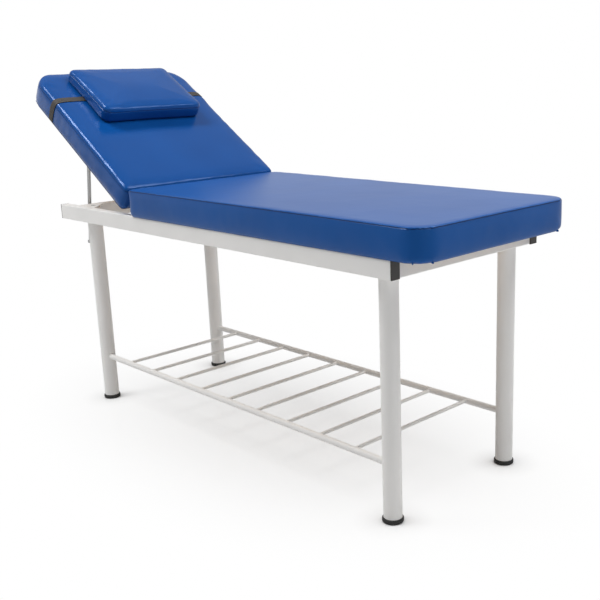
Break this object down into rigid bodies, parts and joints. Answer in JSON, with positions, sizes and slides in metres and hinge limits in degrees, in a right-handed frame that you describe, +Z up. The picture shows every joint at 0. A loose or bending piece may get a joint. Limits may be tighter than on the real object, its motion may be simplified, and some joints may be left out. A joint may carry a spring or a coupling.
{
  "type": "examination table",
  "caption": "Padded examination table on a steel tube frame with a tilting backrest, support struts, wire shelf and a strapped head pillow.",
  "frame": {"origin": "on the floor, at the middle of the bounding box", "axes": "+X to the foot end, +Y to the left side, +Z up"},
  "size_m": [1.8608, 0.6232, 1.1906],
  "materials": {
    "frame_paint": "satin",
    "zinc_steel": "satin",
    "cap_plastic": "matte",
    "knob_plastic": "matte",
    "foot_rubber": "matte",
    "plywood": "matte",
    "blue_vinyl": "satin",
    "pillow_vinyl": "satin",
    "strap_elastic": "matte"
  },
  "bodies": {
    "frame": {"side_rail_right": "frame_paint", "shelf_tube_right": "frame_paint", "hinge_lug_right": "frame_paint", "guide_bracket_right": "frame_paint", "rail_cap_head_right": "cap_plastic", "corner_plate_head_right": "frame_paint", "leg_head_right": "frame_paint", "foot_pad_head_right": "foot_rubber", "rail_cap_foot_right": "cap_plastic", "corner_plate_foot_right": "frame_paint", "leg_foot_right": "frame_paint", "foot_pad_foot_right": "foot_rubber", "side_rail_left": "frame_paint", "shelf_tube_left": "frame_paint", "hinge_lug_left": "frame_paint", "guide_bracket_left": "frame_paint", "rail_cap_head_left": "cap_plastic", "corner_plate_head_left": "frame_paint", "leg_head_left": "frame_paint", "foot_pad_head_left": "foot_rubber", "rail_cap_foot_left": "cap_plastic", "corner_plate_foot_left": "frame_paint", "leg_foot_left": "frame_paint", "foot_pad_foot_left": "foot_rubber", "foot_cross_rail": "frame_paint", "hinge_cross_rail": "frame_paint", "head_cross_rail": "frame_paint", "leg_top_plugs": "frame_paint", "leg_bolts": "zinc_steel", "seat_board": "plywood", "seat_cushion": "blue_vinyl", "seat_cleats": "frame_paint", "seat_screws": "zinc_steel", "hinge_pins": "zinc_steel", "shelf_rod_1": "frame_paint", "shelf_rod_2": "frame_paint", "shelf_rod_3": "frame_paint", "shelf_rod_4": "frame_paint", "shelf_rod_5": "frame_paint", "shelf_rod_6": "frame_paint", "shelf_rod_7": "frame_paint", "shelf_rod_8": "frame_paint", "shelf_rod_9": "frame_paint"},
    "backrest": {"hinge_knuckle_right": "frame_paint", "strut_clevis_right": "frame_paint", "hinge_knuckle_left": "frame_paint", "strut_clevis_left": "frame_paint", "backrest_board": "plywood", "backrest_cushion": "blue_vinyl", "backrest_screws": "zinc_steel", "strut_pins": "zinc_steel"},
    "strut_right": {"strut_rod_right": "zinc_steel", "strut_stop_right": "zinc_steel"},
    "strut_left": {"strut_rod_left": "zinc_steel", "strut_stop_left": "zinc_steel"},
    "knob_right": {"clamp_knob_right": "knob_plastic"},
    "knob_left": {"clamp_knob_left": "knob_plastic"},
    "pillow": {"pillow": "pillow_vinyl", "pillow_strap": "strap_elastic"}
  },
  "joints": [
    {"name": "backrest_tilt", "type": "hinge", "parent": "frame", "child": "backrest", "pos_m": [-0.32864, 0, 0.735], "axis": [0, 1, 0], "range_deg": [-33, 6]},
    {"name": "strut_right_swing", "type": "hinge", "parent": "backrest", "child": "strut_right", "pos_m": [-0.69084, -0.221, 0.91537], "axis": [0, 1, 0], "range_deg": [-3.44, 18.02]},
    {"name": "strut_left_swing", "type": "hinge", "parent": "backrest", "child": "strut_left", "pos_m": [-0.69084, 0.221, 0.91537], "axis": [0, 1, 0], "range_deg": [-3.44, 18.02]},
    {"name": "knob_right_turn", "type": "hinge", "parent": "frame", "child": "knob_right", "pos_m": [-0.76264, -0.221, 0.679], "axis": [1, 0, 0], "continuous": true},
    {"name": "knob_left_turn", "type": "hinge", "parent": "frame", "child": "knob_left", "pos_m": [-0.76264, 0.221, 0.679], "axis": [1, 0, 0], "continuous": true},
    {"name": "pillow_slide", "type": "slide", "parent": "backrest", "child": "pillow", "axis": [-0.8387, 0, 0.5446], "range_m": [-0.04, 0.02]}
  ],
  "couplings": [
    {"joint": "strut_right_swing", "follows": "backrest_tilt", "ratio": -0.54},
    {"joint": "strut_left_swing", "follows": "backrest_tilt", "ratio": -0.54}
  ]
}
